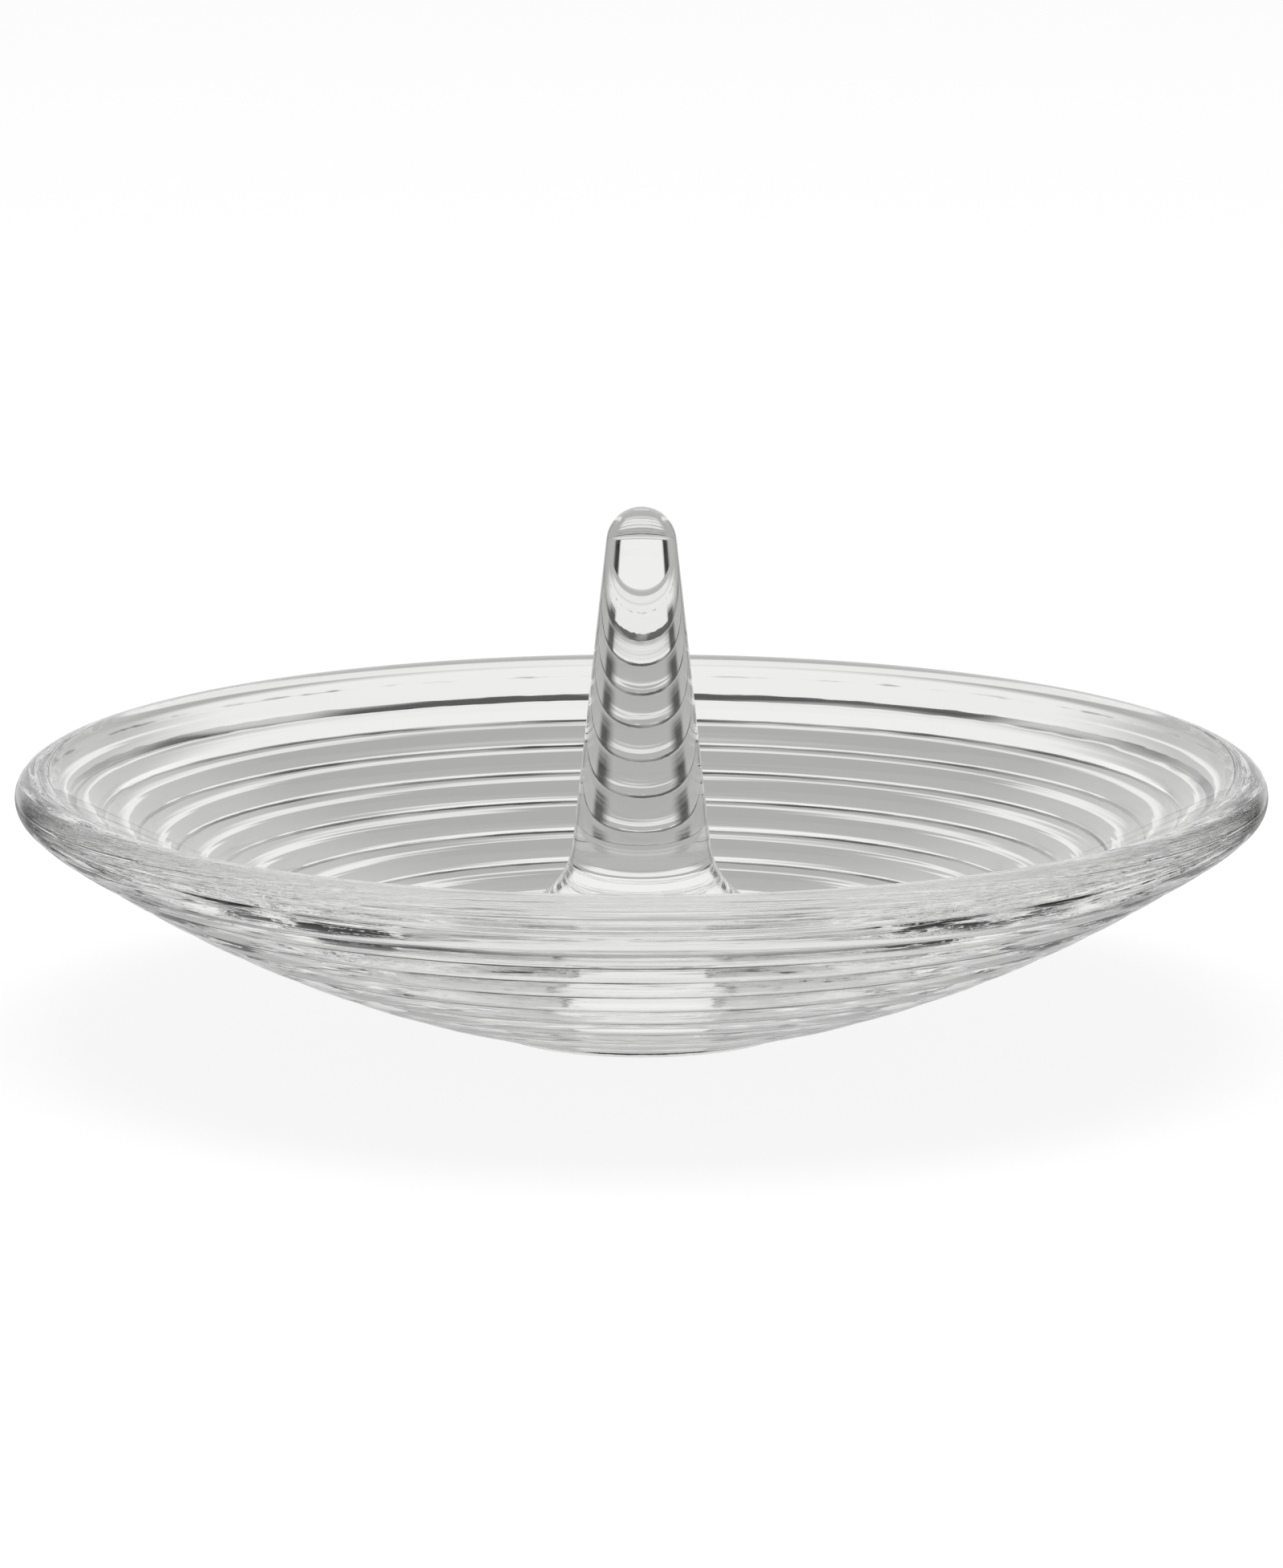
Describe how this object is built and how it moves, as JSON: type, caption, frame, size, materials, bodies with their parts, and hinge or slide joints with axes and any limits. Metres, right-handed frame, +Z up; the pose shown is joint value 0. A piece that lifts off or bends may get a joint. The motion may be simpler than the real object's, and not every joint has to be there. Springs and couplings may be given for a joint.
{
  "type": "ring dish",
  "caption": "Shallow round clear glass dish with a smooth hollow, a stepped band of convex rings outside and a tapering, round-tipped post in its middle that holds finger rings.",
  "frame": {"origin": "middle of the foot's underside, on the dish's axis", "axes": "+Z up along the post, X and Y level and interchangeable, because the dish is round"},
  "size_m": [0.13, 0.13, 0.0546],
  "materials": {
    "clear_glass": "fire polished, clear and colourless"
  },
  "bodies": {
    "root": {"dish": "clear_glass", "ring_post": "clear_glass"}
  },
  "joints": []
}
